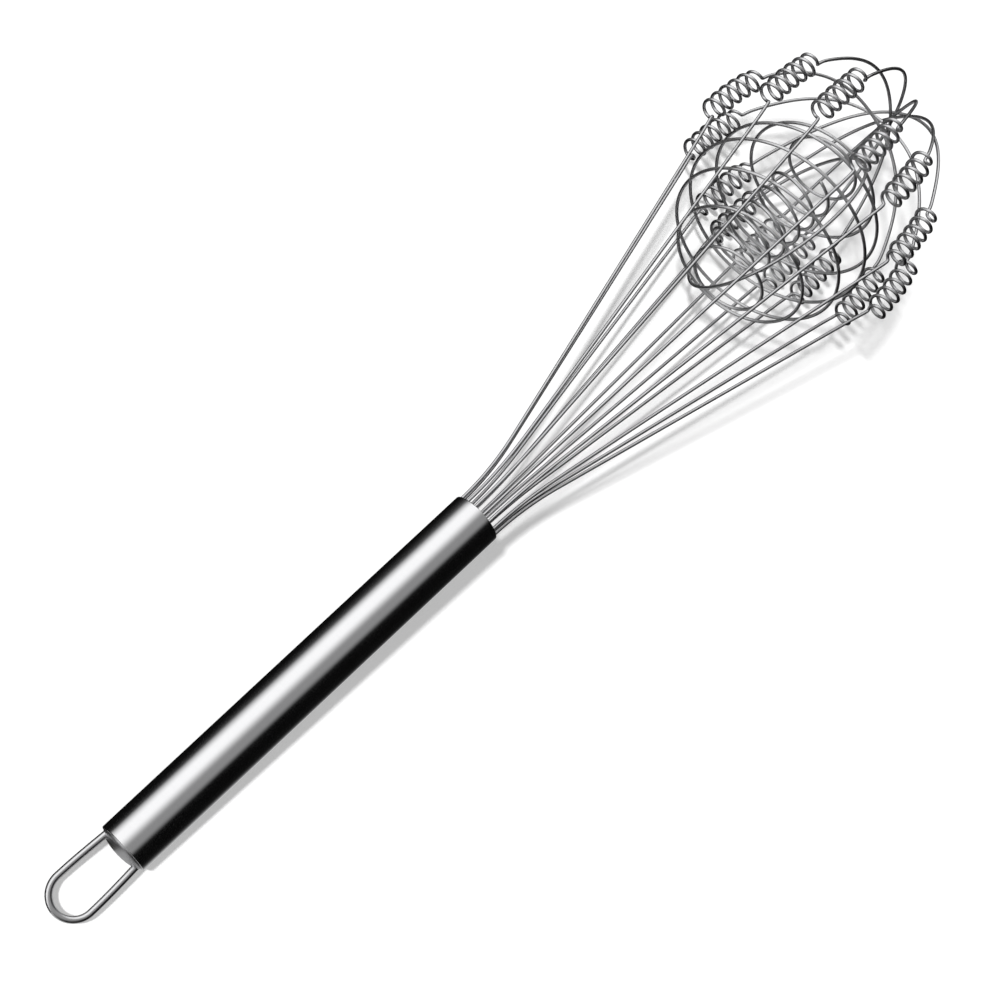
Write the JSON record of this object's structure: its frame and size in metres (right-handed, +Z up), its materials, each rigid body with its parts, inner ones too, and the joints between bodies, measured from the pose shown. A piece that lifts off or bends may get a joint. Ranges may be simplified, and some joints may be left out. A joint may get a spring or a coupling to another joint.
{
  "type": "balloon whisk",
  "caption": "Kitchen balloon whisk with sprung wires, a tube handle with a hanging loop, and a loose wire ball and coil inside the balloon.",
  "frame": {"origin": "on the table the whisk lies on, under the middle of its bounding box", "axes": "+Z up from the table; +X along the whisk toward the tip of the balloon, which stands about 7 degrees above level because the balloon is fatter than the handle"},
  "size_m": [0.3452, 0.0828, 0.085],
  "materials": {
    "handle_steel": "polished stainless steel",
    "core_plastic": "moulded",
    "plug_steel": "satin stainless steel",
    "loop_wire": "polished wire",
    "balloon_wire": "bright drawn spring wire",
    "ball_wire": "bright drawn wire"
  },
  "bodies": {
    "root": {"handle_tube": "handle_steel", "wire_core": "core_plastic", "tail_plug": "plug_steel", "hanging_loop": "loop_wire", "balloon_wire_1": "balloon_wire", "balloon_wire_2": "balloon_wire", "balloon_wire_3": "balloon_wire", "balloon_wire_4": "balloon_wire", "balloon_wire_5": "balloon_wire", "balloon_wire_6": "balloon_wire", "balloon_wire_7": "balloon_wire"},
    "loose_coil": {"inner_coil": "ball_wire"},
    "ball": {"ball_hoop": "ball_wire", "ball_ring_1": "ball_wire", "ball_ring_2": "ball_wire", "ball_ring_3": "ball_wire", "ball_ring_4": "ball_wire", "ball_ring_5": "ball_wire", "ball_ring_6": "ball_wire", "ball_ring_7": "ball_wire"}
  },
  "joints": [
    {"name": "ball_travel", "type": "slide", "parent": "root", "child": "loose_coil", "axis": [0.9953, 0.0431, 0.0865], "range_m": [-0.002, 0.009]},
    {"name": "ball_spin", "type": "hinge", "parent": "loose_coil", "child": "ball", "pos_m": [0.11417, 0.0006, 0.04048], "axis": [0.9918, 0, 0.1279], "continuous": true}
  ]
}
